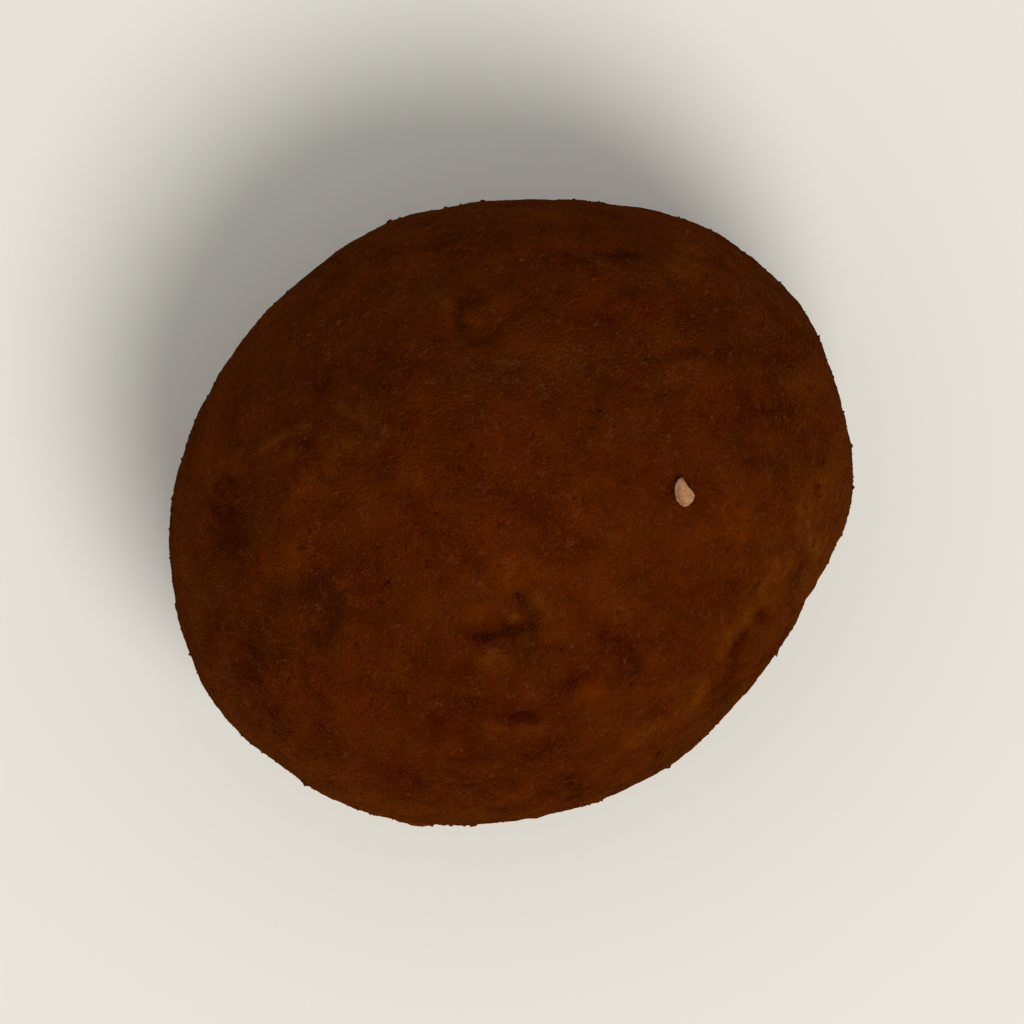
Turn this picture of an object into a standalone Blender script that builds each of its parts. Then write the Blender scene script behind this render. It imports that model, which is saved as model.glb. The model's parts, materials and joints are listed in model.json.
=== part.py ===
"""A chocolate dragee, rolled by hand and dusted all over with cocoa powder.

It is one solid: an uneven ball, longer than it is wide, with the flats that rolling leaves, shallow
pits, short cracks and low lumps in its powder coat, and a small flat foot that it rests on.

Metres, +Z up. The origin is in the middle of the ball's footprint, level with the surface under it.
+X and +Y are the right and the top of the ball as it is seen from straight above.
"""

import math
import random

import bmesh
import bpy
from mathutils import Matrix, Vector, noise

MM = 0.001

# The ball before it is flattened: an ellipsoid whose long axis is turned in plan.
LONG_DIAMETER = 28.0 * MM
SHORT_DIAMETER = 25.7 * MM
UPRIGHT_DIAMETER = 24.8 * MM
LONG_AXIS_TURN = math.radians(30)

# The foot: how much of the ball's underside is set flat, how softly it turns up into the side, and how
# near to its plane a vertex counts as part of it.
FOOT_INSET = 0.85 * MM
FOOT_SOFTNESS = 0.4 * MM
FOOT_TOLERANCE = 0.001 * MM

# Flats that rolling and setting leave: compass turn from +X, rise above the equator, inset.
ROLLED_FLATS = (
    (-14, 26, 0.60 * MM),
    (-46, 34, 0.80 * MM),
    (-80, 29, 0.65 * MM),
    (-30, -2, 1.90 * MM),
    (-52, 2, 1.80 * MM),
    (-76, -3, 1.60 * MM),
    (12, 3, 0.35 * MM),
    (90, 6, 0.62 * MM),
    (118, 40, 0.30 * MM),
    (152, -26, 0.40 * MM),
    (182, 40, 0.30 * MM),
    (236, 2, 0.60 * MM),
    (262, 2, 1.05 * MM),
    (232, -34, 0.50 * MM),
    (16, -38, 0.60 * MM),
    (66, -36, 0.45 * MM),
    (-46, -34, 0.60 * MM),
)
FLAT_SOFTNESS = 1.2 * MM

# Small facets, spread all over.
FACET_COUNT = 44
FACET_INSET = (0.04 * MM, 0.22 * MM)
FACET_JITTER = 0.14
FACET_SOFTNESS = 0.22 * MM

# Pits of the upper face: place seen from above, radius, depth.
TOP_PITS = (
    ((0.35 * MM, -3.70 * MM), 0.75 * MM, 0.34 * MM),
    ((0.20 * MM, -7.85 * MM), 0.70 * MM, 0.26 * MM),
    ((-1.60 * MM, 7.60 * MM), 0.80 * MM, 0.20 * MM),
    ((-7.00 * MM, -3.70 * MM), 1.50 * MM, 0.22 * MM),
    ((-11.0 * MM, -0.50 * MM), 1.60 * MM, 0.26 * MM),
    ((4.20 * MM, 10.1 * MM), 1.00 * MM, 0.22 * MM),
    ((4.30 * MM, -4.90 * MM), 1.10 * MM, 0.18 * MM),
    ((-2.90 * MM, 0.20 * MM), 0.90 * MM, 0.10 * MM),
)

# Short cracks of the upper face: from, to, half width, depth.
TOP_CRACKS = (
    ((-1.55 * MM, -5.05 * MM), (0.55 * MM, -4.35 * MM), 0.50 * MM, 0.42 * MM),
    ((0.55 * MM, -4.35 * MM), (0.45 * MM, -3.15 * MM), 0.45 * MM, 0.36 * MM),
    ((5.20 * MM, 6.05 * MM), (8.90 * MM, 6.35 * MM), 0.45 * MM, 0.12 * MM),
    ((-8.90 * MM, 2.40 * MM), (-6.90 * MM, 3.60 * MM), 0.45 * MM, 0.10 * MM),
)

# Pits where the top of the ball isn't seen: how many, how far up they reach, radius, depth.
SIDE_PIT_COUNT = 40
SIDE_PIT_HIGHEST = 0.45
SIDE_PIT_RADIUS = (0.6 * MM, 1.5 * MM)
SIDE_PIT_DEPTH = (0.10 * MM, 0.34 * MM)
SIDE_PIT_JITTER = 0.12

# Low lumps where powder has caked on: place seen from above, radius, height.
TOP_LUMPS = (
    ((6.45 * MM, 0.75 * MM), 0.95 * MM, 0.12 * MM),
    ((1.00 * MM, -2.10 * MM), 1.20 * MM, 0.14 * MM),
    ((-5.20 * MM, 1.90 * MM), 1.30 * MM, 0.10 * MM),
    ((9.00 * MM, -5.40 * MM), 1.10 * MM, 0.12 * MM),
)

# Unevenness of the whole surface: size of a swell, and how far it rises or sinks.
SWELLS = (
    (8.0 * MM, 0.20 * MM),
    (3.4 * MM, 0.07 * MM),
    (1.7 * MM, 0.03 * MM),
)

# The cube's faces are cut into this many strips each way before it is blown up to a ball.
STRIPS = 31
SEED = 7

COCOA_COLOUR = (0.066, 0.0115, 0.0012, 1.0)
COCOA_ROUGHNESS = 0.95


def soft_min(a, b, softness):
    """The smaller of two lengths, rounded over where they cross."""
    overlap = max(softness - abs(a - b), 0.0) / softness
    return min(a, b) - overlap * overlap * softness / 4


def compass(turn, rise):
    """The unit direction at a compass turn from +X and a rise above the equator, in degrees."""
    turn, rise = math.radians(turn), math.radians(rise)
    return Vector((math.cos(turn) * math.cos(rise), math.sin(turn) * math.cos(rise), math.sin(rise)))


def spread(count, jitter, draw):
    """Directions spread evenly over a ball along a spiral, each nudged a little."""
    golden_turn = math.pi * (3 - math.sqrt(5))
    directions = []
    for step in range(count):
        height = 1 - (2 * step + 1) / count
        ring = math.sqrt(1 - height * height)
        turn = golden_turn * step
        direction = Vector((ring * math.cos(turn), ring * math.sin(turn), height))
        nudge = Vector([draw.gauss(0, jitter) for _ in range(3)])
        directions.append((direction + nudge).normalized())
    return directions


class Ellipsoid:
    """The plain ball, centred on the origin, with its long axis turned in plan."""

    def __init__(self):
        self.half = Vector((LONG_DIAMETER / 2, SHORT_DIAMETER / 2, UPRIGHT_DIAMETER / 2))
        self.to_axes = Matrix.Rotation(-LONG_AXIS_TURN, 3, "Z")

    def radius(self, direction):
        """How far the surface is from the centre in a direction."""
        along = self.to_axes @ direction
        return 1 / Vector([along[i] / self.half[i] for i in range(3)]).length

    def reach(self, normal):
        """How far from the centre a plane with this normal touches the surface."""
        along = self.to_axes @ normal
        return Vector([along[i] * self.half[i] for i in range(3)]).length

    def seen_from_above(self, place):
        """The direction of the upper surface's point at (x, y) in plan."""
        along = self.to_axes @ Vector((place[0], place[1], 0))
        left_over = 1 - (along.x / self.half.x) ** 2 - (along.y / self.half.y) ** 2
        return Vector((place[0], place[1], self.half.z * math.sqrt(max(left_over, 0.0)))).normalized()


class Flat:
    """A plane that presses into the ball."""

    def __init__(self, ball, normal, inset, softness):
        self.normal = normal
        self.distance = ball.reach(normal) - inset
        self.softness = softness

    def press(self, direction, radius):
        facing = direction.dot(self.normal)
        if facing <= 0:
            return radius
        return soft_min(radius, self.distance / facing, self.softness)


class Spot:
    """A round hollow or lump: its depth is positive for a hollow and negative for a lump."""

    def __init__(self, direction, radius, depth):
        self.direction = direction
        self.radius = radius
        self.depth = depth

    def sink(self, point):
        away = (point - self.direction * point.length).length / self.radius
        return self.depth * (1 - away * away) ** 2 if away < 1 else 0.0


class Crack:
    """A short groove between two directions."""

    def __init__(self, start, end, half_width, depth):
        self.start = start
        self.end = end
        self.half_width = half_width
        self.depth = depth

    def sink(self, point):
        start = self.start * point.length
        span = self.end * point.length - start
        along = min(max((point - start).dot(span) / span.length_squared, 0.0), 1.0)
        away = (point - start - span * along).length / self.half_width
        return self.depth * (1 - away * away) ** 2 if away < 1 else 0.0


def pressed_flats(ball, draw):
    """The rolled flats, then the small facets."""
    flats = [
        Flat(ball, compass(turn, rise), inset, FLAT_SOFTNESS) for turn, rise, inset in ROLLED_FLATS
    ]
    for normal in spread(FACET_COUNT, FACET_JITTER, draw):
        flats.append(Flat(ball, normal, draw.uniform(*FACET_INSET), FACET_SOFTNESS))
    return flats


def surface_marks(ball, draw):
    """The pits, cracks and lumps of the upper face, then the pits of the sides and the underside."""
    marks = [
        Spot(ball.seen_from_above(place), radius, depth) for place, radius, depth in TOP_PITS
    ]
    marks += [
        Spot(ball.seen_from_above(place), radius, -height) for place, radius, height in TOP_LUMPS
    ]
    for start, end, half_width, depth in TOP_CRACKS:
        ends = ball.seen_from_above(start), ball.seen_from_above(end)
        marks.append(Crack(*ends, half_width, depth))
    for direction in spread(SIDE_PIT_COUNT, SIDE_PIT_JITTER, draw):
        radius = draw.uniform(*SIDE_PIT_RADIUS)
        depth = draw.uniform(*SIDE_PIT_DEPTH)
        if direction.z < SIDE_PIT_HIGHEST:
            marks.append(Spot(direction, radius, depth))
    return marks


def swell(point):
    """How far the surface rises at a point, from the broad unevenness down to the fine."""
    return sum(rise * noise.noise(point / size) for size, rise in SWELLS)


def ball_directions(bm):
    """Turns a unit cube's cut faces into evenly sized patches on a unit sphere."""
    for vert in bm.verts:
        evened = [math.tan(component * math.pi / 4) for component in vert.co]
        vert.co = Vector(evened).normalized()


def shape_ball(bm):
    """Moves each vertex of a unit sphere out to the dragee's surface."""
    draw = random.Random(SEED)
    ball = Ellipsoid()
    flats = pressed_flats(ball, draw)
    marks = surface_marks(ball, draw)
    foot = Flat(ball, Vector((0, 0, -1)), FOOT_INSET, FOOT_SOFTNESS)
    for vert in bm.verts:
        direction = vert.co.copy()
        radius = ball.radius(direction)
        for flat in flats:
            radius = flat.press(direction, radius)
        radius += swell(direction * radius)
        point = direction * radius
        radius -= sum(mark.sink(point) for mark in marks)
        vert.co = direction * foot.press(direction, radius)
    return foot.distance


def stand_on_origin(bm, foot_depth):
    """Centres the footprint on the origin and sets the foot at height zero, exactly flat."""
    lows = [min(vert.co[axis] for vert in bm.verts) for axis in range(2)]
    highs = [max(vert.co[axis] for vert in bm.verts) for axis in range(2)]
    middle = [(low + high) / 2 for low, high in zip(lows, highs)]
    bmesh.ops.translate(bm, verts=bm.verts, vec=(-middle[0], -middle[1], foot_depth))
    for vert in bm.verts:
        if abs(vert.co.z) < FOOT_TOLERANCE:
            vert.co.z = 0.0


def cocoa_coating():
    """Matt, dark red-brown cocoa powder."""
    material = bpy.data.materials.new("cocoa_coating")
    material.use_nodes = True
    shader = material.node_tree.nodes["Principled BSDF"]
    shader.inputs["Base Color"].default_value = COCOA_COLOUR
    shader.inputs["Roughness"].default_value = COCOA_ROUGHNESS
    shader.inputs["Metallic"].default_value = 0.0
    return material


def make_dragee(collection):
    """The whole dragee, from a cube that is cut into strips and blown up to a ball."""
    bpy.ops.mesh.primitive_cube_add(size=2)
    dragee = bpy.context.object
    dragee.name = "dragee"
    bm = bmesh.new()
    bm.from_mesh(dragee.data)
    bmesh.ops.subdivide_edges(bm, edges=bm.edges, cuts=STRIPS - 1, use_grid_fill=True)
    ball_directions(bm)
    foot_depth = shape_ball(bm)
    stand_on_origin(bm, foot_depth)
    bm.to_mesh(dragee.data)
    bm.free()
    dragee.data.shade_smooth()
    dragee.data.materials.append(cocoa_coating())
    for other in list(dragee.users_collection):
        other.objects.unlink(dragee)
    collection.objects.link(dragee)
    return dragee


def main():
    for leftover in list(bpy.data.objects):
        bpy.data.objects.remove(leftover)
    collection = bpy.data.collections.new("chocolate_dragee")
    bpy.context.scene.collection.children.link(collection)
    make_dragee(collection)


main()
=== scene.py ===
"""A chocolate dragee in its coat of cocoa powder, seen from straight above.

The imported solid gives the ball's size and form. The coat is a finer ball drawn over it. The crack, pits,
creases and scratches of the upper face are pressed into it, with marks of the same kinds at chance places on
the lower half, and the powder's lumps, caking and grain raise it. Loose clumps and grains of cocoa lie all
over the coat, and one pale crumb sits on top.

Metres, +Z up. +X is the right of the picture and +Y its top.
"""

import json
import math
import random
from collections import namedtuple

import bpy
import numpy as np
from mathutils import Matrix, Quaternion, Vector, noise

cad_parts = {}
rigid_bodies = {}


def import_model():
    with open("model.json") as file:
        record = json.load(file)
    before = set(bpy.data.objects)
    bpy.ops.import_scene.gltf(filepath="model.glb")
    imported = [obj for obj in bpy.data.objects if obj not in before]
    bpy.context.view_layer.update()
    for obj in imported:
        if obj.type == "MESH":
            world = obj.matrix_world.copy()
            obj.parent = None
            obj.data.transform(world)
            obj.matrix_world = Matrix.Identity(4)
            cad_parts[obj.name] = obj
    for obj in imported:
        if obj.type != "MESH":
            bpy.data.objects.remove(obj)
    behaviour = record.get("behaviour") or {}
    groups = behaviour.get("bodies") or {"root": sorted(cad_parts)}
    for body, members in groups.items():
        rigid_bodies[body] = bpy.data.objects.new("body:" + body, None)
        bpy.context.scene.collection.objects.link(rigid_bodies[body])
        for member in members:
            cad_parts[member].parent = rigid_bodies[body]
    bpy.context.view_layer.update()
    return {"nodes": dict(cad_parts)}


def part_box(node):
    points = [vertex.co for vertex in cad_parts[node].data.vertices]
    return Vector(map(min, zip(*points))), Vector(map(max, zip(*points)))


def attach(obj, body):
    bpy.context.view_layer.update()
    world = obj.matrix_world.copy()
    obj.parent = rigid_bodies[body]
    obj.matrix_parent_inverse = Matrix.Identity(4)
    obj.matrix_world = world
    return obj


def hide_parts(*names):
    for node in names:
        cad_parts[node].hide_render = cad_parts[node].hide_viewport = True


MM = 0.001

SOLID = "dragee"
BODY = "root"

# The coat's faces: how often the starting cube's faces are halved, then the cuts across each of those.
CUBE_HALVINGS = 3
FACE_CUTS = 14
FACET_SMOOTHING = 30
# How far inside the solid the coat starts, so that it ends within the solid's box with its clumps on.
COAT_INSET = 0.12 * MM
# What lies lower than this level rests on the surface underneath and is set flat, with an edge this wide.
FOOT_LEVEL = 0.26 * MM
FOOT_EDGE = 1.0 * MM

# The powder's relief, from lumps down to grain: its swells' size, how often they break up, and its height.
Relief = namedtuple("Relief", "name size detail height")
COCOA_LUMPS = Relief("cocoa_lumps", 1.7 * MM, 1, 0.15 * MM)
COCOA_CAKING = Relief("cocoa_caking", 0.70 * MM, 2, 0.13 * MM)
COCOA_GRANULES = Relief("cocoa_granules", 0.30 * MM, 1, 0.06 * MM)

# A side of the ball, as the turn about its middle that brings straight up round to it.
ABOVE = Quaternion()
MIDDLE_HEIGHT = 12 * MM

# A mark in a side of the ball: its path as the side is seen, how far it reaches from that, its depth (a
# rise if negative), how much paler (darker if negative) it is painted, as the powder's own tone on some
# marks and as painted light and shade on others, how much more golden (redder if negative) its powder is,
# the falloff of its walls, and the side.
Mark = namedtuple("Mark", "path reach depth shade gold walls side")
# The walls of a hollow, and those of a crack, whose path is broken up as well.
ROUNDED = "SMOOTH"
CRACKED = "SHARP"
# A path is followed in these steps, and a crack jogs aside this far at each.
PATH_STEP = 0.10 * MM
PATH_JOG = 0.09 * MM
# A side's marks fade out across this width, where the ball turns away.
SIDE_FADE = 4.8 * MM
# The upper face is nearer the camera than the outline is, and looks this much larger.
LENS_SPREAD = 1.02
# A mark's colour fades out within this share of its reach. Its edge is ragged: the size of the swells, how
# far they shift it, and their fractal's roughness, step from size to size and number of sizes.
TINT_REACH = 0.62
RAGGED_SIZE = 1.2 * MM
RAGGED_DEPTH = 0.5
RAGGED_FRACTAL = (0.7, 2, 5)

# Round a crack the faces are cut finer: out to this reach, in this many cuts.
FINE_REACH = 0.60 * MM
FINE_CUTS = 3

# Loose cocoa: the pieces' sizes, how far apart they lie, and how deep they sit, in their sizes.
Scatter = namedtuple("Scatter", "name smallest largest apart sunk seed")
COCOA_CLUMPS = Scatter("cocoa_clumps", 0.12 * MM, 0.32 * MM, 0.70 * MM, 0.70, 11)
COCOA_GRAINS = Scatter("cocoa_grains", 0.06 * MM, 0.14 * MM, 0.34 * MM, 0.60, 23)
# Each kind has this many shapes. A clump starts as a cube of this width and goes this far towards a ball.
# The corners of both kinds are then pushed about. Their powder is darker or paler than the coat's within
# these limits.
LOOSE_SHAPES = 6
CLUMP_CUBE = 0.75
CLUMP_ROUNDNESS = 0.8
LOOSE_BUMPINESS = 0.30
LOOSE_SHADES = (-0.5, 0.9)
# Loose cocoa lies in drifts: their size, their mean cover, and how sharply it changes. None lies lower than
# this level. So many places are tried for each piece, to fill the drifts as far as the distances allow.
DRIFT_SIZE = 3.0 * MM
DRIFT_COVER = 0.55
DRIFT_CONTRAST = 4
LOWEST_CLUMP = 1.2 * MM
PLACES_TRIED = 4

# The pale crumb: its place seen from above, its size, its turn, and how deep it sits.
CRUMB_PLACE = Vector((6.40, 0.70)) * MM
CRUMB_SIZE = Vector((0.78, 1.13, 0.64)) * MM
CRUMB_TURN = math.radians(17)
CRUMB_SUNK = 0.12 * MM
# Its broken sides (facing, and how far from its middle), its faces, its wear and its relief, for a crumb
# that is 1 across.
CRUMB_BREAKS = (
    ((1.0, 0.5, 0.4), 0.36),
    ((-1.0, 0.6, 0.5), 0.37),
    ((0.3, -1.0, 0.5), 0.40),
    ((-0.7, -0.6, 0.1), 0.40),
    ((0.1, 0.2, 1.0), 0.40),
)
CRUMB_FACE = 0.045
CRUMB_WEAR = 3
CRUMB_RELIEF = (Relief("crumb_lumps", 0.35, 1, 0.16), Relief("crumb_grit", 0.11, 1, 0.05))

# The coat's attributes: how far the powder is raised, and its marks' shade and gold.
HEIGHT = "powder_height"
SHADE = "powder_shade"
GOLD = "powder_gold"

# The powder's colour patterns, from broad to fine: the size of their swells and their detail.
Pattern = namedtuple("Pattern", "size detail")
CLOUDS = Pattern(4.2 * MM, 2)
GOLDEN_CLOUDS = Pattern(2.3 * MM, 3)
MOTTLE = Pattern(1.5 * MM, 2)
DUSTINGS = Pattern(1.1 * MM, 3)
RAGS = Pattern(0.50 * MM, 4)
SPECKLES = Pattern(0.45 * MM, 3)
FLECKS = Pattern(0.34 * MM, 3)
GRAIN = Pattern(0.12 * MM, 3)
# The size of its granules and of its specks, and the height of its finest grain.
GRANULE_SIZE = 0.12 * MM
SPECK_SIZE = 0.08 * MM
GRAIN_HEIGHT = 0.12 * MM
# The share of plain powder's way from dark to pale; what a metre of height adds, painted light on rises and
# painted shade in hollows; and what a mark's shade adds.
MEAN_TONE = 0.345
PAINTED_RELIEF_SHADE_PER_METRE = 860
TONE_PER_SHADE = 0.36
# How much plain powder turns golden and dusty, and the most that it can.
MEAN_GOLD = 0.13
MOST_GOLD = 0.75
MEAN_DUST = -0.33
MOST_DUST = 0.6

# The crumb's patterns and its finest relief.
CRUMB_UNDULATION = Pattern(0.50 * MM, 3)
GRIT = Pattern(0.12 * MM, 2)
GRIT_HEIGHT = 0.03 * MM

# Cocoa: dark where the powder is thin and in the painted shade of its hollows, pale where it is thick or
# rubbed and in the painted light on its rises, golden, and as dust.
COCOA_DARK = (0.0300, 0.0030, 0.0001, 1.0)
COCOA_PALE = (0.1266, 0.0200, 0.0004, 1.0)
COCOA_GOLD = (0.1080, 0.0290, 0.0012, 1.0)
COCOA_DUST = (0.1220, 0.0340, 0.0135, 1.0)
COCOA_SHEEN = (0.50, 0.22, 0.04, 1.0)
CRUMB_DARK = (0.24, 0.10, 0.038, 1.0)
CRUMB_PALE = (0.46, 0.23, 0.100, 1.0)
FLOOR_COLOUR = (0.80, 0.77, 0.69, 1.0)

# The picture: a long lens straight above, a sky of even light and one broad lamp from the lower right.
CAMERA_HEIGHT = 400 * MM
PICTURE_WIDTH = 41 * MM
FLOOR_WIDTH = 2.0
SKY_STRENGTH = 0.54
LAMP_TURN = math.radians(-62)
LAMP_RISE = math.radians(63)
LAMP_DISTANCE = 600 * MM
LAMP_WIDTH = 260 * MM
LAMP_POWER = 2.15


def at(x, y):
    """A place on the upper face, from where the camera sees it, in millimetres at the outline's height."""
    return Vector((x, y)) * MM / LENS_SPREAD


def side_at(turn, rise):
    """The side of the ball at a turn round it from +X and a rise above level, in degrees."""
    return Quaternion((0, 0, 1), math.radians(turn)) @ Quaternion((0, 1, 0), math.radians(90 - rise))


def trace(*places):
    """A path as a side is seen, through places in millimetres."""
    return [Vector(place) * MM for place in places]


def stroke(path, reach, depth=0.0, shade=0.0, gold=0.0, walls=ROUNDED, side=ABOVE):
    """A mark along a path; its reach and its depth are in millimetres."""
    return Mark(path, reach * MM, depth * MM, shade, gold, walls, side)


def spot(x, y, *values):
    """A mark about one place of the upper face, in millimetres."""
    return stroke((at(x, y),), *values)


# The short crack in its shallow hollow: a streak with a fork of dents above its end, a lobe and a lip
# below. The streak and its dents are painted darker as well: painted shade in the crack.
CRACK = (at(-1.30, -4.88), at(-0.75, -4.80), at(-0.25, -4.52), at(0.30, -4.46), at(0.75, -4.28))
CRACK_TAIL = (at(-2.10, -4.50), at(-1.60, -4.62), at(-1.20, -4.85))
CRACK_FORK = (at(0.75, -4.28), at(0.80, -3.90), at(0.52, -3.55), at(0.27, -3.20))
CRACK_MARKS = (
    stroke((at(-0.80, -4.90), at(0.60, -4.20)), 0.90, 0.12),
    stroke((at(-1.10, -5.62), at(-0.50, -5.75)), 0.75, -0.16, 0.50, 0.20),
    stroke((at(-0.10, -2.30), at(0.80, -2.25)), 1.10, -0.12, 0.95, 0.05),
    stroke(CRACK, 0.40, 0.10, -0.16, -0.04, CRACKED),
    stroke(CRACK[1:4], 0.30, 0.09, -0.10, -0.04, CRACKED),
    stroke(CRACK_TAIL, 0.36, 0.05, -0.26, 0.0, CRACKED),
    stroke(CRACK_FORK, 0.36, 0.08, -0.12, 0.04, CRACKED),
    spot(-0.95, -4.86, 0.40, 0.05, -0.08),
    spot(-0.15, -4.58, 0.46, 0.05, -0.12),
    spot(0.26, -3.22, 0.50, 0.06, -0.62, -0.15),
    spot(0.30, -3.65, 0.50, 0.04, -0.85, -0.10),
    stroke((at(0.50, -4.42), at(0.76, -4.08)), 0.55, 0.06, 0.12, 0.05),
    spot(0.13, -4.02, 0.46, -0.10, -0.50, 0.75),
    spot(0.55, -5.12, 0.72, 0.10, -0.75, 0.20),
    spot(-0.75, -5.45, 0.50, 0.0, 0.45, 0.60),
    spot(-1.40, -4.00, 0.65, -0.04, 0.45, 0.12),
    stroke((at(0.95, -3.15), at(1.30, -3.75)), 0.50, -0.03, 0.55, 0.45),
)

# The small pit under the crack, painted redder and darker (the darkness is painted shade in its hollow), and
# its lip.
PIT = (at(0.02, -7.92), at(0.35, -7.86), at(0.68, -7.88))
PIT_LIP = (at(-0.95, -8.10), at(-0.40, -8.35), at(0.30, -8.45), at(0.95, -8.30))
PIT_MARKS = (
    stroke(PIT_LIP, 0.36, -0.06, 0.60, 0.12),
    stroke(PIT, 0.60, 0.14),
    stroke(PIT, 0.70, 0.0, -0.32, -1.10),
    spot(-0.40, -8.05, 0.36, 0.04, -0.30, -0.15),
)

# The shallow open ring above the middle.
RING = (
    at(-1.30, 8.45),
    at(-1.95, 8.10),
    at(-2.15, 7.50),
    at(-1.95, 6.90),
    at(-1.50, 6.60),
    at(-0.90, 6.80),
    at(-0.40, 7.20),
    at(0.00, 7.65),
)
RING_MARKS = (
    stroke(RING, 0.48, 0.09, -0.16, -0.05),
    stroke((at(-2.02, 7.75), at(-1.92, 6.80)), 0.45, 0.04, -0.26),
    stroke((at(-2.52, 8.20), at(-2.52, 7.20)), 0.42, -0.05, 0.35, 0.10),
    spot(-0.50, 8.10, 0.65, -0.03, 0.30, 0.10),
    spot(-1.35, 7.45, 0.60, -0.04, 0.25, 0.10),
    spot(-2.50, 8.15, 0.45, -0.03, 0.40, 0.15),
)

# The faint creases of the upper right, painted darker as painted shade in their grooves, and the scratches
# of the left.
UPPER_CREASES = (
    (at(5.30, 5.95), at(6.30, 6.10), at(7.20, 6.35)),
    (at(5.60, 4.60), at(6.20, 4.65), at(6.80, 4.85)),
    (at(3.20, 10.15), at(4.00, 10.0), at(4.90, 10.15)),
)
SCRATCHES = (
    (at(-9.75, 2.50), at(-9.20, 2.75), at(-8.70, 3.10), at(-8.10, 3.30)),
    (at(-9.10, 1.95), at(-8.40, 2.30)),
    (at(-6.60, 4.05), at(-5.90, 3.70)),
)
LINE_MARKS = (
    *[stroke(path, 0.34, 0.08, -0.45) for path in UPPER_CREASES],
    *[stroke(path, 0.34, -0.04, 0.22, 0.35) for path in SCRATCHES],
    stroke((at(5.90, 5.55), at(6.90, 5.70)), 0.50, -0.04, 0.35, 0.15),
    stroke((at(6.30, 9.50), at(6.90, 8.70)), 0.45, -0.03, 0.35, 0.15),
    stroke((at(10.3, 5.60), at(10.5, 5.00), at(11.1, 5.00)), 0.42, -0.03, 0.30, 0.05),
)

# The crest of the flattened side, broken up, with dents on and outside it.
CREST_PIECES = (
    (at(11.2, 0.10), at(11.4, -0.45)),
    (at(10.8, -1.95), at(10.3, -2.45)),
    (at(9.70, -2.85), at(9.65, -3.40)),
    (at(9.20, -3.80), at(8.95, -4.15)),
    (at(8.40, -4.75), at(8.10, -5.50)),
    (at(7.40, -6.60), at(7.15, -7.30)),
    (at(6.80, -7.60),),
    (at(5.90, -8.10), at(4.60, -8.90)),
)
CREST = [place for piece in CREST_PIECES for place in piece]
CREST_MARKS = (
    stroke(CREST, 1.20, -0.08, 0.12, 0.03),
    *[stroke(path, 0.45, -0.06, 0.62, 0.30) for path in CREST_PIECES],
    spot(12.0, 1.20, 0.60, -0.04, 0.50, 0.10),
    stroke((at(11.6, -0.95), at(11.75, -1.35)), 0.55, -0.06, 1.25, 0.70),
    spot(11.8, 0.40, 1.30, 0.0, 0.70),
    stroke((at(12.4, -1.60), at(11.6, -3.00)), 0.60, 0.0, 0.30, 0.15),
    stroke((at(11.3, -2.25), at(11.1, -2.75)), 0.50, 0.10, -0.50),
    spot(9.62, -3.97, 0.46, 0.10, -0.45, -0.90),
    stroke((at(8.80, -5.00), at(8.50, -5.75)), 0.55, 0.10, -0.20, -0.05),
    spot(8.60, -2.70, 0.70, 0.06, -0.25),
)

# The dents of the left, and small ones elsewhere.
DENT_MARKS = (
    stroke((at(-7.45, -3.00), at(-7.05, -4.20)), 1.55, 0.16, -0.66, 0.12),
    spot(-7.60, -5.00, 0.80, 0.06, -0.35),
    stroke((at(-11.2, -0.30), at(-11.0, -0.95)), 1.60, 0.18, -0.35),
    spot(-11.0, -0.85, 0.80, 0.0, -0.25),
    spot(0.90, -0.10, 0.80, 0.08, -0.08),
    spot(2.55, 2.60, 0.80, 0.05, -0.30, 0.08),
    stroke((at(4.20, -5.20), at(4.90, -6.00)), 0.95, 0.12, -0.42),
    stroke((at(2.20, -6.65), at(2.75, -6.30)), 0.40, 0.08, -0.45, -0.15),
    spot(1.95, -5.05, 0.55, 0.05, -0.35),
    spot(3.45, -4.70, 0.55, 0.05, -0.30),
    spot(-4.70, 2.10, 0.60, 0.05, -0.35),
    spot(-7.40, 4.70, 0.65, 0.05, -0.32),
    spot(-3.55, -0.40, 0.50, 0.04, -0.35),
    spot(-2.50, -0.90, 0.45, 0.04, -0.35),
    spot(8.10, 6.20, 0.50, 0.05, -0.42),
    spot(8.40, 8.20, 0.50, 0.05, -0.38),
    spot(6.80, 8.30, 0.48, 0.04, -0.32),
    spot(10.9, 5.80, 0.50, 0.07, -0.42),
)

# Spots where the powder is thick or rubbed pale.
PALE_MARKS = (
    stroke((at(3.40, -3.50), at(4.60, -3.70)), 1.00, -0.04, 0.32),
    spot(1.10, -3.40, 0.55, -0.03, 0.35),
    spot(3.20, -6.88, 0.65, -0.06, 0.50, -0.05),
    spot(1.87, -5.86, 0.55, -0.03, 0.28),
    spot(0.47, -7.10, 0.50, -0.03, 0.28),
    spot(8.60, -0.30, 1.50, -0.05, 0.62, 0.05),
    stroke((at(2.50, 0.60), at(2.60, -0.30)), 0.60, 0.0, 0.30),
    spot(-3.55, 1.25, 0.60, -0.03, 0.35),
    stroke((at(-8.70, 0.10), at(-8.40, 1.00)), 0.60, -0.03, 0.40),
    stroke((at(-7.90, 1.00), at(-7.60, 1.60)), 0.50, -0.03, 0.36),
    stroke((at(-8.70, -2.00), at(-8.50, -1.20)), 0.60, -0.03, 0.38),
    spot(-6.30, -4.40, 0.50, 0.0, 0.28, 0.25),
    spot(-1.70, -2.50, 0.60, 0.0, 0.28),
    spot(7.00, 9.80, 1.20, 0.0, 0.35, 0.25),
)

# Painted light and shade along the outline: the powder is painted paler at the upper left, where the sky
# lights the rim, and darker at the lower right, where the rim lies in shade.
PAINTED_LIGHT_EDGE = trace(
    (2.1, 11.8),
    (-2.0, 11.6),
    (-5.9, 10.3),
    (-9.2, 7.7),
    (-11.6, 4.2),
    (-12.8, 0.0),
    (-12.5, -4.5),
)
PAINTED_SHADE_EDGE = trace((2.0, -11.3), (5.6, -9.7), (8.5, -7.1))
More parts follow.
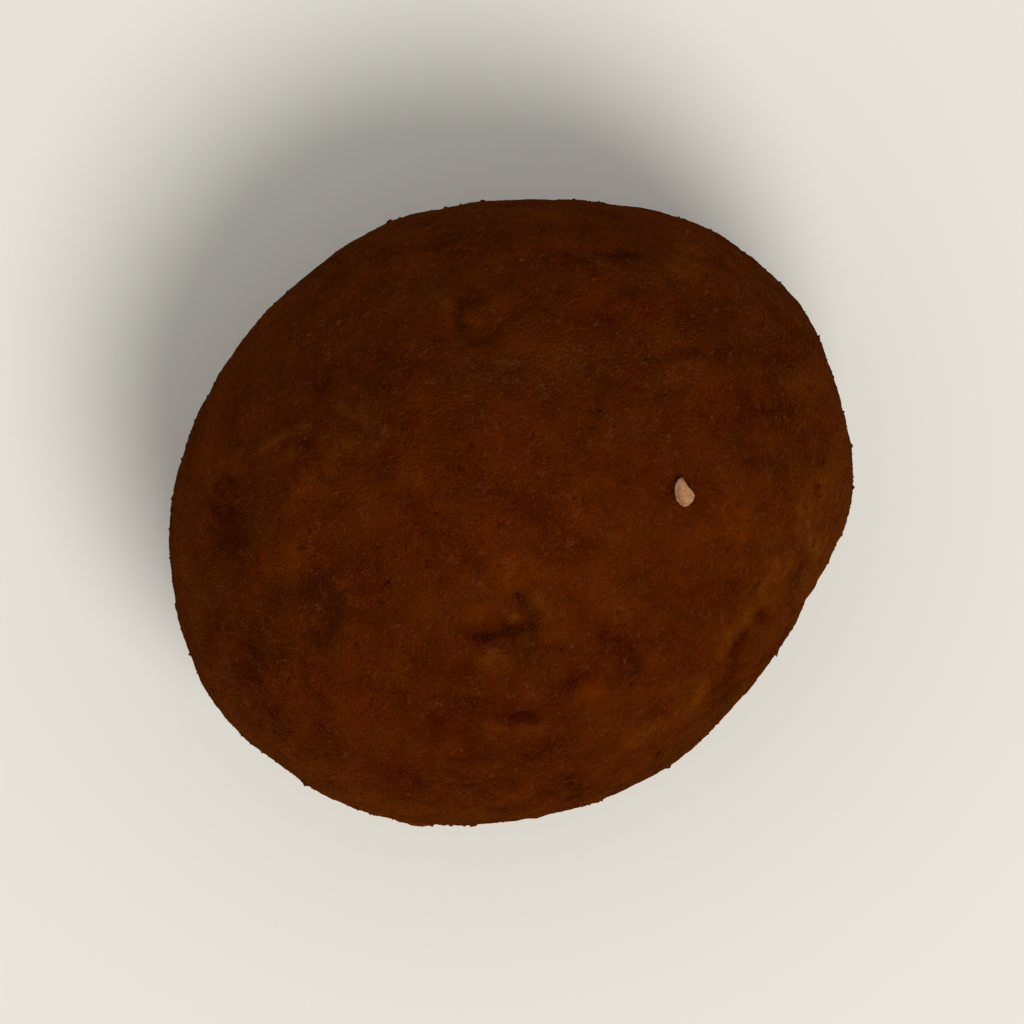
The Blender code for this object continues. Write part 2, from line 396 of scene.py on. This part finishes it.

# Broad turns of the colour, along the outline and over whole parts of the face; the outline's and the upper
# left's are painted light and shade.
BROAD_MARKS = (
    # Painted light along the upper-left outline, and painted shade along the lower-right outline.
    stroke(PAINTED_LIGHT_EDGE, 0.90, 0.0, 0.30, 0.06),
    stroke(PAINTED_SHADE_EDGE, 0.80, 0.0, -0.40),
    # The upper left and the top are painted darker: painted shade on the side away from the lamp.
    stroke((at(-7.00, 7.00), at(-2.00, 10.0)), 5.50, 0.0, -0.26, 0.08),
    spot(-8.50, 4.50, 5.00, 0.0, -0.16, 0.02),
    stroke((at(1.00, 11.0), at(5.50, 10.5)), 3.00, 0.0, -0.04),
    spot(9.80, 3.20, 2.60, 0.0, -0.36),
    spot(10.5, -3.50, 3.00, 0.0, -0.12),
    spot(7.00, 7.00, 5.50, 0.0, 0.0, 0.08),
    spot(-10.6, -6.40, 3.00, 0.0, -0.14, 0.08),
    stroke((at(-2.00, -10.5), at(2.00, -11.0)), 3.00, 0.0, -0.28, -0.12),
    spot(-6.00, -7.00, 4.00, 0.0, 0.22, -0.12),
    stroke((at(-4.00, 0.20), at(1.00, 1.50)), 5.50, 0.0, 0.11, -0.05),
    spot(7.00, -1.50, 4.00, 0.0, 0.18, -0.04),
)

# Smaller patches, where the powder is thicker and paler.
THICK_PATCHES = (
    spot(3.90, -9.20, 1.50, 0.0, 0.32),
    spot(-5.00, -5.80, 1.20, 0.0, 0.35),
    spot(7.40, 4.20, 1.40, 0.0, 0.35),
    spot(10.2, -0.40, 1.40, 0.0, 0.20),
    spot(8.60, -2.30, 1.20, 0.0, 0.40),
    stroke((at(-5.20, 9.20), at(-4.00, 9.80)), 1.20, 0.0, 0.38),
    stroke((at(-1.20, 10.6), at(1.50, 10.6)), 1.20, 0.0, 0.38),
    spot(-10.4, -3.10, 1.80, 0.0, 0.22),
    spot(-5.30, -0.20, 2.20, 0.0, 0.18),
    stroke((at(-6.60, 2.20), at(-7.60, 1.00), at(-7.70, -1.60)), 1.60, 0.0, 0.48),
    stroke((at(-3.90, 0.80), at(-3.90, -0.30)), 1.30, 0.0, 0.50),
    spot(-4.20, -2.40, 1.00, 0.0, 0.50),
    stroke((at(2.20, 0.80), at(2.90, -0.10)), 1.20, 0.0, 0.55),
    spot(-8.20, -6.20, 1.60, 0.0, 0.80),
    stroke((at(-6.40, 2.60), at(-5.60, 3.20)), 1.40, 0.0, 0.0, 0.30),
)

# And where it is thinner and darker, or redder.
THIN_PATCHES = (
    spot(5.90, -8.50, 1.10, 0.0, -0.30, -0.20),
    spot(5.40, -9.00, 0.90, 0.0, -0.30),
    stroke((at(8.80, -4.60), at(7.90, -6.30)), 1.40, 0.0, -0.38, -0.12),
    spot(4.20, -6.40, 1.20, 0.0, -0.35),
    spot(4.20, 1.70, 1.00, 0.0, -0.30),
    stroke((at(-3.40, 8.00), at(-3.20, 6.40)), 1.10, 0.0, -0.28),
    spot(6.30, 9.40, 1.20, 0.0, -0.36),
    spot(-7.90, 7.20, 1.40, 0.0, -0.28),
    stroke((at(4.20, 7.80), at(6.20, 8.40), at(8.60, 7.20)), 1.60, 0.0, -0.34, -0.06),
    spot(10.6, 6.40, 1.60, 0.0, -0.40, -0.20),
    stroke((at(-11.4, 1.60), at(-11.4, 0.10)), 1.20, 0.0, -0.40, -0.15),
    stroke((at(-11.4, -4.80), at(-10.0, -7.40), at(-8.40, -9.00)), 1.30, 0.0, -0.20, -0.18),
    spot(-5.00, -10.4, 1.40, 0.0, 0.0, -0.30),
    spot(-1.80, -6.40, 1.20, 0.0, -0.40),
    stroke((at(-2.60, 5.40), at(2.60, 5.70)), 1.60, 0.0, -0.38, 0.22),
)

UPPER_MARKS = (
    *CRACK_MARKS,
    *PIT_MARKS,
    *RING_MARKS,
    *LINE_MARKS,
    *CREST_MARKS,
    *DENT_MARKS,
    *PALE_MARKS,
    *BROAD_MARKS,
    *THICK_PATCHES,
    *THIN_PATCHES,
)

# The lower half, which the picture doesn't show, has the same kinds of marks at chance places: how many on
# a side, and from and to what reach, depth and length in millimetres, shade and gold.
Chance = namedtuple("Chance", "count reach depth length shade gold")
CHANCE_MARKS = (
    Chance(2, (2.50, 4.50), (0.0, 0.0), (0.5, 3.0), (-0.30, 0.25), (-0.12, 0.15)),
    Chance(2, (0.90, 1.50), (0.08, 0.18), (0.3, 1.0), (-0.55, -0.20), (0.00, 0.10)),
    Chance(4, (0.40, 0.70), (0.05, 0.11), (0.0, 0.3), (-0.60, -0.30), (-0.20, 0.10)),
    Chance(3, (0.50, 1.00), (-0.06, -0.03), (0.1, 0.6), (0.25, 0.50), (0.00, 0.25)),
    Chance(2, (0.35, 0.50), (-0.06, -0.03), (0.8, 1.8), (0.35, 0.60), (0.15, 0.35)),
)
# Where they start on a side, in millimetres down and across from its middle, and the four sides.
CHANCE_DOWN = (-1.0, 8.5)
CHANCE_ACROSS = (-8.5, 8.5)
LOWER_SIDES = [side_at(turn, -10) for turn in (40, 130, 220, 310)]

# A short crack in each of two sides, running across and down, with its lip. The crack is painted darker:
# painted shade in its groove.
SIDE_CRACK = trace((1.2, -1.3), (1.5, -0.6), (1.4, 0.1), (1.9, 0.8))
SIDE_LIP = trace((2.2, -0.9), (2.3, -0.1))
CRACKED_SIDES = (side_at(255, 0), side_at(85, -15))


def deselect_all():
    bpy.ops.object.select_all(action="DESELECT")


def select_only(piece):
    deselect_all()
    piece.select_set(True)
    bpy.context.view_layer.objects.active = piece


def open_edit():
    """Opens the active piece in edit mode, with its own selection."""
    bpy.ops.object.mode_set(mode="EDIT")


def close_edit():
    bpy.ops.object.mode_set(mode="OBJECT")


def edit(piece):
    """Opens a piece in edit mode with all of it selected."""
    select_only(piece)
    open_edit()
    bpy.ops.mesh.select_all(action="SELECT")


def apply_modifier(piece, name, kind, **settings):
    select_only(piece)
    modifier = piece.modifiers.new(name, kind)
    for setting, value in settings.items():
        setattr(modifier, setting, value)
    bpy.ops.object.modifier_apply(modifier=name)


def vertex_array(piece, what="co"):
    """The piece's vertex places or normals, one row each."""
    values = np.empty(len(piece.data.vertices) * 3)
    if what == "co":
        piece.data.vertices.foreach_get("co", values)
    else:
        piece.data.vertex_normals.foreach_get("vector", values)
    return values.reshape(-1, 3)


def along(path):
    """Points along a path, no more than a step apart."""
    points = [path[0]]
    for start, end in zip(path, path[1:]):
        count = math.ceil((end - start).length / PATH_STEP)
        points += [start.lerp(end, step / count) for step in range(1, count + 1)]
    return points


def jagged(path):
    """A path that is broken up, its points pushed a little aside, but not its ends."""
    draw = random.Random(len(path))
    points = along(path)
    for point in points[1:-1]:
        point.x += draw.uniform(-PATH_JOG, PATH_JOG)
        point.y += draw.uniform(-PATH_JOG, PATH_JOG)
    return points


def seen(places, side):
    """Vertex places from the ball's middle, turned so that one side faces up."""
    return (places - np.array((0, 0, MIDDLE_HEIGHT))) @ np.array(side.to_matrix())


def distance_to_path(places, path):
    """How far each vertex looks to be from a path, for places as a side is seen."""
    away = np.full(len(places), np.inf)
    for point in along(path):
        away = np.minimum(away, np.hypot(places[:, 0] - point.x, places[:, 1] - point.y))
    return away


def facing_share(places):
    """How much each vertex belongs to the side that is seen: 1 on it, 0 behind, part of 1 at its edge."""
    return np.clip(0.5 + places[:, 2] / SIDE_FADE, 0, 1)


def raggedness(places):
    """For each vertex, by how much more or less it counts as away from a mark."""
    swells = [noise.fractal(Vector(place) / RAGGED_SIZE, *RAGGED_FRACTAL) for place in places]
    return np.exp(RAGGED_DEPTH * np.array(swells))


def mark_selected(piece, vertices):
    """Leaves only these vertices of a piece selected; vertices is a true or false for each."""
    select_only(piece)
    piece.data.edges.foreach_set("select", np.zeros(len(piece.data.edges), bool))
    piece.data.polygons.foreach_set("select", np.zeros(len(piece.data.polygons), bool))
    piece.data.vertices.foreach_set("select", vertices)


def cut_finer(coat, path, side):
    """Cuts the faces along a path finer."""
    places = seen(vertex_array(coat), side)
    mark_selected(coat, (distance_to_path(places, path) < FINE_REACH) & (facing_share(places) == 1))
    open_edit()
    bpy.ops.mesh.subdivide(number_cuts=FINE_CUTS, smoothness=1.0)
    close_edit()


def nearest_to_path(coat, path, side):
    """A true for each vertex of a side that is the nearest to a point of the path."""
    places = seen(vertex_array(coat), side)
    facing = np.flatnonzero(facing_share(places) > 0.5)
    chosen = np.zeros(len(places), bool)
    for point in along(path):
        away = np.hypot(places[facing, 0] - point.x, places[facing, 1] - point.y)
        chosen[facing[away.argmin()]] = True
    return chosen


def chance_marks(side, seed):
    """Marks of every kind, at chance places on the lower half of a side."""
    draw = random.Random(seed)
    marks = []
    for kind in CHANCE_MARKS:
        for _ in range(kind.count):
            start = Vector((draw.uniform(*CHANCE_DOWN), draw.uniform(*CHANCE_ACROSS)))
            lean = draw.uniform(0, math.tau)
            end = start + Vector((math.cos(lean), math.sin(lean))) * draw.uniform(*kind.length)
            reach, depth = draw.uniform(*kind.reach), draw.uniform(*kind.depth)
            shade, gold = draw.uniform(*kind.shade), draw.uniform(*kind.gold)
            marks.append(stroke((start * MM, end * MM), reach, depth, shade, gold, ROUNDED, side))
    return marks


def side_crack(side):
    """A short crack, its hollow and its lip."""
    return [
        stroke(SIDE_CRACK, 0.90, 0.12, -0.10, 0.0, ROUNDED, side),
        stroke(SIDE_LIP, 0.70, -0.15, 0.50, 0.20, ROUNDED, side),
        stroke(SIDE_CRACK, 0.40, 0.12, -0.40, -0.05, CRACKED, side),
        stroke(SIDE_CRACK[1:], 0.30, 0.08, -0.20, 0.0, CRACKED, side),
    ]


def all_marks():
    marks = list(UPPER_MARKS)
    for number, side in enumerate(LOWER_SIDES):
        marks += chance_marks(side, number)
    for side in CRACKED_SIDES:
        marks += side_crack(side)
    return marks


def press(coat, mark):
    """Sinks the surface along a mark's path, less and less out to its reach."""
    path = jagged(mark.path) if mark.walls == CRACKED else mark.path
    mark_selected(coat, nearest_to_path(coat, path, mark.side))
    open_edit()
    bpy.ops.transform.shrink_fatten(
        value=-mark.depth,
        use_proportional_edit=True,
        proportional_edit_falloff=mark.walls,
        proportional_size=mark.reach,
    )
    close_edit()


def raise_relief(piece, relief):
    """Raises and sinks a piece along its normals by a cloudy pattern."""
    pattern = bpy.data.textures.new(relief.name, "CLOUDS")
    pattern.noise_scale = relief.size
    pattern.noise_depth = relief.detail
    apply_modifier(
        piece, relief.name, "DISPLACE", texture=pattern, texture_coords="LOCAL", strength=relief.height
    )


def set_flat_foot(coat):
    """Flattens what rests on the surface underneath, and rounds its edge."""
    mark_selected(coat, vertex_array(coat)[:, 2] < FOOT_LEVEL)
    open_edit()
    bpy.ops.transform.resize(
        value=(1, 1, 0),
        center_override=(0, 0, 0),
        use_proportional_edit=True,
        proportional_edit_falloff="SMOOTH",
        proportional_size=FOOT_EDGE,
    )
    close_edit()


def store(piece, name, values):
    attribute = piece.data.attributes.new(name, "FLOAT", "POINT")
    attribute.data.foreach_set("value", values.astype(np.float32))


def ball_over_solid(solid):
    """A cube blown up to a ball of even faces, drawn onto the solid and freed of its facets."""
    low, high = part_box(SOLID)
    deselect_all()
    bpy.ops.mesh.primitive_cube_add(size=(high - low).x, location=(low + high) / 2)
    coat = bpy.context.object
    coat.name = "cocoa_coat"
    apply_modifier(coat, "halvings", "SUBSURF", levels=CUBE_HALVINGS, render_levels=CUBE_HALVINGS)
    edit(coat)
    bpy.ops.mesh.subdivide(number_cuts=FACE_CUTS)
    bpy.ops.transform.tosphere(value=1.0)
    close_edit()
    bpy.ops.object.transform_apply(location=True)
    apply_modifier(
        coat,
        "solid",
        "SHRINKWRAP",
        target=solid,
        wrap_method="PROJECT",
        wrap_mode="ABOVE_SURFACE",
        use_negative_direction=True,
        use_positive_direction=True,
        offset=-COAT_INSET,
    )
    apply_modifier(coat, "facets", "SMOOTH", factor=0.5, iterations=FACET_SMOOTHING)
    coat.data.shade_smooth()
    return coat


def tint(coat, places, marks):
    """Stores the marks' shade and gold on the coat, from its places before its relief was made."""
    shade = np.zeros(len(places))
    gold = np.zeros(len(places))
    ragged = raggedness(places)
    for mark in marks:
        side_places = seen(places, mark.side)
        away = distance_to_path(side_places, mark.path) * ragged
        share = np.exp(-((away / (mark.reach * TINT_REACH)) ** 2)) * facing_share(side_places)
        shade += mark.shade * share
        gold += mark.gold * share
    store(coat, SHADE, shade)
    store(coat, GOLD, gold)


def make_coat(solid, finish):
    """The coat of cocoa powder, all of the ball that shows."""
    coat = ball_over_solid(solid)
    for path in (CRACK + CRACK_FORK, PIT):
        cut_finer(coat, path, ABOVE)
    for side in CRACKED_SIDES:
        cut_finer(coat, SIDE_CRACK, side)
    places, normals = vertex_array(coat), vertex_array(coat, "normals")
    marks = all_marks()
    raise_relief(coat, COCOA_LUMPS)
    for mark in marks:
        if mark.depth:
            press(coat, mark)
    raise_relief(coat, COCOA_CAKING)
    raise_relief(coat, COCOA_GRANULES)
    store(coat, HEIGHT, ((vertex_array(coat) - places) * normals).sum(axis=1))
    tint(coat, places, marks)
    set_flat_foot(coat)
    coat.data.materials.append(finish)
    return coat


class Wire:
    """A node's output. Python's operators on it add Math nodes."""

    def __init__(self, nodes, socket):
        self.nodes = nodes
        self.socket = socket

    def __add__(self, other):
        return self.nodes.math("ADD", self, other)

    def __sub__(self, other):
        return self.nodes.math("SUBTRACT", self, other)

    def __rsub__(self, other):
        return self.nodes.math("SUBTRACT", other, self)

    def __mul__(self, other):
        return self.nodes.math("MULTIPLY", self, other)

    def __pow__(self, other):
        return self.nodes.math("POWER", self, other)

    def __gt__(self, other):
        return self.nodes.math("GREATER_THAN", self, other)

    __radd__ = __add__
    __rmul__ = __mul__


class Nodes:
    """A node tree filled from Python. Sockets go by their identifiers, which no two of a node share."""

    def __init__(self, tree):
        self.tree = tree

    def feed(self, node, sockets):
        """Sets a node's inputs to values, or links them to wires."""
        by_identifier = {socket.identifier: socket for socket in node.inputs}
        for identifier, value in sockets.items():
            if isinstance(value, Wire):
                self.tree.links.new(value.socket, by_identifier[identifier])
            else:
                by_identifier[identifier].default_value = value

    def node(self, kind, settings, sockets, output=None):
        """Adds a node with its settings and inputs, and returns one output, the first if none is named."""
        made = self.tree.nodes.new(kind)
        for name, value in settings.items():
            setattr(made, name, value)
        self.feed(made, sockets)
        by_identifier = {socket.identifier: socket for socket in made.outputs}
        return Wire(self, by_identifier[output] if output else made.outputs[0])

    def math(self, operation, first, second):
        return self.node("ShaderNodeMath", {"operation": operation}, {"Value": first, "Value_001": second})

    def cloudy(self, place, pattern):
        """A cloudy pattern, half above nought and half below."""
        sockets = {"Vector": place, "Scale": 1 / pattern.size, "Detail": pattern.detail}
        return self.node("ShaderNodeTexNoise", {}, sockets) - 0.5

    def cells(self, place, size, output):
        """Cells of a size: the colour of each, or the distance from its middle."""
        return self.node("ShaderNodeTexVoronoi", {}, {"Vector": place, "Scale": 1 / size}, output)

    def attribute(self, name):
        """A value that the piece's vertices carry."""
        return self.node("ShaderNodeAttribute", {"attribute_name": name}, {}, "Fac")

    def bump(self, height, distance):
        """The normal of a relief whose height goes from 0 to 1 over a distance."""
        return self.node("ShaderNodeBump", {}, {"Strength": 1.0, "Distance": distance, "Height": height})

    def limited(self, value):
        """A value held between 0 and 1."""
        return self.node("ShaderNodeClamp", {}, {"Value": value})

    def blend(self, first, second, share):
        """A colour that goes from the first to the second as the share goes from 0 to 1."""
        sockets = {"Factor_Float": share, "A_Color": first, "B_Color": second}
        return self.node("ShaderNodeMix", {"data_type": "RGBA"}, sockets, "Result_Color")


def new_finish(name):
    """A material, its nodes and its shader."""
    finish = bpy.data.materials.new(name)
    finish.use_nodes = True
    return finish, Nodes(finish.node_tree), finish.node_tree.nodes["Principled BSDF"]


def cocoa_powder():
    """Matt cocoa powder, paler where thick or rubbed, darker where thin; painted shade in its hollows,
    painted light on its rises.
    """
    finish, nodes, shader = new_finish("cocoa_powder")
    place = nodes.node("ShaderNodeTexCoord", {}, {}, "Object")
    clouds = nodes.cloudy(place, CLOUDS)
    mottle = nodes.cloudy(place, MOTTLE)
    speckles = nodes.cloudy(place, SPECKLES)
    flecks = nodes.cloudy(place, FLECKS)
    grain = nodes.cloudy(place, GRAIN)
    specks = nodes.cells(place, SPECK_SIZE, "Color") - 0.5
    granules = nodes.cells(place, GRANULE_SIZE, "Distance")
    # Each number below is how strongly a pattern shows.
    ragged = 1 + nodes.cloudy(place, RAGS) * 4.5
    shade = nodes.attribute(SHADE) * ragged
    gold = nodes.attribute(GOLD) * ragged
    # The height, and the speckles and grain that also raise the bump, paint the powder paler where it rises
    # and darker where it sinks: painted light and painted shade.
    tone = MEAN_TONE + clouds * 0.55 + mottle * 0.70 + speckles * 0.12 + grain * 0.32 + specks * 0.32
    tone = tone + nodes.attribute(HEIGHT) * PAINTED_RELIEF_SHADE_PER_METRE + shade * TONE_PER_SHADE
    turned = MEAN_GOLD + nodes.cloudy(place, GOLDEN_CLOUDS) * 0.7 + speckles * 0.3 + gold
    dusted = MEAN_DUST + flecks * 3.0 + nodes.cloudy(place, DUSTINGS) * 1.2 + specks * 1.1 + gold * 0.8
    brown = nodes.blend(COCOA_DARK, COCOA_PALE, nodes.limited(tone))
    golden = nodes.blend(brown, COCOA_GOLD, nodes.limited(turned) * MOST_GOLD)
    colour = nodes.blend(golden, COCOA_DUST, nodes.limited(dusted) * MOST_DUST)
    nodes.feed(
        shader,
        {
            "Base Color": colour,
            "Roughness": nodes.limited(0.93 + speckles * 0.2),
            "Normal": nodes.bump(speckles * 0.2 + grain - granules * 0.6, GRAIN_HEIGHT),
            "Diffuse Roughness": 0.4,
            "Specular IOR Level": 0.0,
            "Sheen Weight": 0.10,
            "Sheen Roughness": 0.20,
            "Sheen Tint": COCOA_SHEEN,
        },
    )
    return finish


def pale_biscuit():
    """The pale crumb: dry biscuit, painted darker in its hollows and paler on its swells, as painted shade
    and painted light.
    """
    finish, nodes, shader = new_finish("pale_biscuit")
    place = nodes.node("ShaderNodeTexCoord", {}, {}, "Object")
    undulation = nodes.cloudy(place, CRUMB_UNDULATION)
    grit = nodes.cloudy(place, GRIT)
    nodes.feed(
        shader,
        {
            # Darker where the bump sinks and paler where it rises: painted shade and painted light.
            "Base Color": nodes.blend(CRUMB_DARK, CRUMB_PALE, nodes.limited(0.55 + undulation * 1.6 + grit)),
            "Roughness": nodes.limited(0.8 + grit * 0.3),
            "Normal": nodes.bump(grit + undulation, GRIT_HEIGHT),
            "Specular IOR Level": 0.2,
        },
    )
    return finish


def clump_shape(number):
    """A lump of caked powder, about 1 across: a rounded cube with its corners pushed about."""
    bpy.ops.mesh.primitive_cube_add(size=CLUMP_CUBE)
    shape = bpy.context.object
    edit(shape)
    bpy.ops.mesh.subdivide(number_cuts=1)
    bpy.ops.transform.tosphere(value=CLUMP_ROUNDNESS)
    bpy.ops.transform.vertex_random(offset=LOOSE_BUMPINESS, seed=number)
    close_edit()
    return shape


def grain_shape(number):
    """A grain of powder, 1 across, with its corners pushed about."""
    bpy.ops.mesh.primitive_ico_sphere_add(subdivisions=1, radius=0.5)
    shape = bpy.context.object
    edit(shape)
    bpy.ops.transform.vertex_random(offset=LOOSE_BUMPINESS, seed=number)
    close_edit()
    return shape


def shape_tray(name, make_shape):
    """A collection of a few shapes to scatter."""
    tray = bpy.data.collections.new(name)
    bpy.context.scene.collection.children.link(tray)
    for number in range(LOOSE_SHAPES):
        deselect_all()
        shape = make_shape(number)
        shape.data.shade_smooth()
        for home in list(shape.users_collection):
            home.objects.unlink(shape)
        tray.objects.link(shape)
    return tray


def clear_tray(tray):
    for shape in list(tray.objects):
        bpy.data.objects.remove(shape)
    bpy.data.collections.remove(tray)


def chance(nodes, seed, low=0.0, high=1.0):
    """A random value for each point, between two limits."""
    sockets = {"Min_001": low, "Max_001": high, "Seed": seed}
    return nodes.node("FunctionNodeRandomValue", {"data_type": "FLOAT"}, sockets, "Value_001")


def drift_points(nodes, coat, kind):
    """Points all over the coat where loose cocoa lies, in drifts."""
    place = nodes.node("GeometryNodeInputPosition", {}, {})
    height = nodes.node("ShaderNodeSeparateXYZ", {}, {"Vector": place}, "Z")
    drifts = nodes.cloudy(place, Pattern(DRIFT_SIZE, 1))
    return nodes.node(
        "GeometryNodeDistributePointsOnFaces",
        {"distribute_method": "POISSON"},
        {
            "Mesh": nodes.node("GeometryNodeObjectInfo", {}, {"Object": coat}, "Geometry"),
            "Selection": height > LOWEST_CLUMP,
            "Distance Min": kind.apart,
            "Density Max": PLACES_TRIED / kind.apart**2,
            "Density Factor": nodes.limited(DRIFT_COVER + drifts * DRIFT_CONTRAST),
            "Seed": kind.seed,
        },
        "Points",
    )


def lay_pattern(coat, kind, tray):
    """The nodes that lay the tray's shapes all over the coat as one mesh, most of them small."""
    tree = bpy.data.node_groups.new(kind.name, "GeometryNodeTree")
    tree.interface.new_socket("Geometry", in_out="OUTPUT", socket_type="NodeSocketGeometry")
    nodes = Nodes(tree)
    points = drift_points(nodes, coat, kind)
    normal = Wire(nodes, points.socket.node.outputs["Normal"])
    size = kind.smallest + chance(nodes, kind.seed + 1) ** 3 * (kind.largest - kind.smallest)
    lift = nodes.node(
        "ShaderNodeVectorMath",
        {"operation": "SCALE"},
        {"Vector": normal, "Scale": size * (0.5 - kind.sunk)},
    )
    lifted = nodes.node("GeometryNodeSetPosition", {}, {"Geometry": points, "Offset": lift})
    shapes = nodes.node(
        "GeometryNodeCollectionInfo",
        {},
        {"Collection": tray, "Separate Children": True, "Reset Children": True},
    )
    turn = nodes.node(
        "FunctionNodeRandomValue",
        {"data_type": "FLOAT_VECTOR"},
        {"Max": (math.tau, math.tau, math.tau), "Seed": kind.seed + 2},
        "Value",
    )
    laid = nodes.node(
        "GeometryNodeInstanceOnPoints",
        {},
        {"Points": lifted, "Instance": shapes, "Pick Instance": True, "Rotation": turn, "Scale": size},
    )
    shaded = nodes.node(
        "GeometryNodeStoreNamedAttribute",
        {"data_type": "FLOAT", "domain": "INSTANCE"},
        {"Geometry": laid, "Name": SHADE, "Value": chance(nodes, kind.seed + 3, *LOOSE_SHADES)},
    )
    real = nodes.node("GeometryNodeRealizeInstances", {}, {"Geometry": shaded})
    result = tree.nodes.new("NodeGroupOutput")
    nodes.feed(result, {result.inputs[0].identifier: real})
    return tree


def take_off_outliers(loose):
    """Takes off the loose pieces that reach outside the solid's box."""
    low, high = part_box(SOLID)
    places = vertex_array(loose)
    # A mesh fresh from nodes comes all selected, which only edit mode lets go of.
    edit(loose)
    bpy.ops.mesh.select_all(action="DESELECT")
    close_edit()
    mark_selected(loose, ((places < low) | (places > high)).any(axis=1))
    open_edit()
    bpy.ops.mesh.select_linked()
    bpy.ops.mesh.delete(type="VERT")
    close_edit()


def scatter(coat, kind, make_shape, finish):
    """Loose cocoa of one kind, as one piece."""
    tray = shape_tray(kind.name, make_shape)
    pattern = lay_pattern(coat, kind, tray)
    deselect_all()
    # The pattern puts its own mesh in the cube's place.
    bpy.ops.mesh.primitive_cube_add()
    loose = bpy.context.object
    loose.name = kind.name
    apply_modifier(loose, kind.name, "NODES", node_group=pattern)
    bpy.data.node_groups.remove(pattern)
    clear_tray(tray)
    take_off_outliers(loose)
    loose.data.materials.clear()
    loose.data.materials.append(finish)
    return loose


def make_crumb(coat, finish):
    """The pale crumb, broken off flat on some sides, sitting on the coat. It is shaped 1 across first."""
    deselect_all()
    bpy.ops.mesh.primitive_ico_sphere_add(subdivisions=4, radius=0.5)
    crumb = bpy.context.object
    crumb.name = "pale_crumb"
    for side, reach in CRUMB_BREAKS:
        facing = Vector(side).normalized()
        edit(crumb)
        bpy.ops.mesh.bisect(plane_co=facing * reach, plane_no=facing, use_fill=True, clear_outer=True)
        close_edit()
    apply_modifier(crumb, "even_faces", "REMESH", mode="VOXEL", voxel_size=CRUMB_FACE, use_smooth_shade=True)
    apply_modifier(crumb, "worn_edges", "SMOOTH", factor=0.5, iterations=CRUMB_WEAR)
    for relief in CRUMB_RELIEF:
        raise_relief(crumb, relief)
    low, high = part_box(SOLID)
    above = Vector((CRUMB_PLACE.x, CRUMB_PLACE.y, high.z))
    under = coat.ray_cast(above, Vector((0, 0, -1)))[1]
    outward = (under - (low + high) / 2).normalized()
    lean = Vector((0, 0, 1)).rotation_difference(outward)
    crumb.scale = CRUMB_SIZE
    crumb.rotation_euler = (lean @ Quaternion((0, 0, 1), CRUMB_TURN)).to_euler()
    crumb.location = under + outward * (CRUMB_SIZE.z / 2 - CRUMB_SUNK)
    select_only(crumb)
    bpy.ops.object.transform_apply()
    crumb.data.materials.append(finish)
    return crumb


def lay_floor():
    """The plain pale surface that the ball rests on."""
    deselect_all()
    bpy.ops.mesh.primitive_plane_add(size=FLOOR_WIDTH)
    floor = bpy.context.object
    floor.name = "floor"
    finish, nodes, shader = new_finish("pale_table")
    nodes.feed(shader, {"Base Color": FLOOR_COLOUR, "Roughness": 0.9, "Specular IOR Level": 0.1})
    floor.data.materials.append(finish)


def light_sky():
    """Even white light from all round."""
    sky = bpy.data.worlds.new("even_sky")
    sky.use_nodes = True
    light = sky.node_tree.nodes["Background"]
    Nodes(sky.node_tree).feed(light, {"Strength": SKY_STRENGTH, "Color": (1, 1, 1, 1)})
    bpy.context.scene.world = sky


def hang_lamp():
    """A broad soft lamp, aimed at the ball from the lower right of the picture."""
    away = Vector(
        (
            math.cos(LAMP_TURN) * math.cos(LAMP_RISE),
            math.sin(LAMP_TURN) * math.cos(LAMP_RISE),
            math.sin(LAMP_RISE),
        )
    )
    bpy.ops.object.light_add(type="AREA", location=away * LAMP_DISTANCE)
    lamp = bpy.context.object
    lamp.rotation_euler = away.to_track_quat("Z", "Y").to_euler()
    lamp.data.shape = "DISK"
    lamp.data.size = LAMP_WIDTH
    lamp.data.energy = LAMP_POWER


def set_camera():
    """Straight above the ball, with the picture's top towards +Y."""
    bpy.ops.object.camera_add(location=(0, 0, CAMERA_HEIGHT), rotation=(0, 0, 0))
    camera = bpy.context.object
    camera.data.lens = camera.data.sensor_width * CAMERA_HEIGHT / PICTURE_WIDTH
    bpy.context.scene.camera = camera


def main():
    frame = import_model()
    cocoa = cocoa_powder()
    coat = make_coat(frame["nodes"][SOLID], cocoa)
    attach(coat, BODY)
    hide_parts(SOLID)
    for kind, make_shape in ((COCOA_CLUMPS, clump_shape), (COCOA_GRAINS, grain_shape)):
        loose = scatter(coat, kind, make_shape, cocoa)
        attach(loose, BODY)
    crumb = make_crumb(coat, pale_biscuit())
    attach(crumb, BODY)
    lay_floor()
    light_sky()
    hang_lamp()
    set_camera()
    bpy.context.scene.view_settings.view_transform = "Standard"


main()
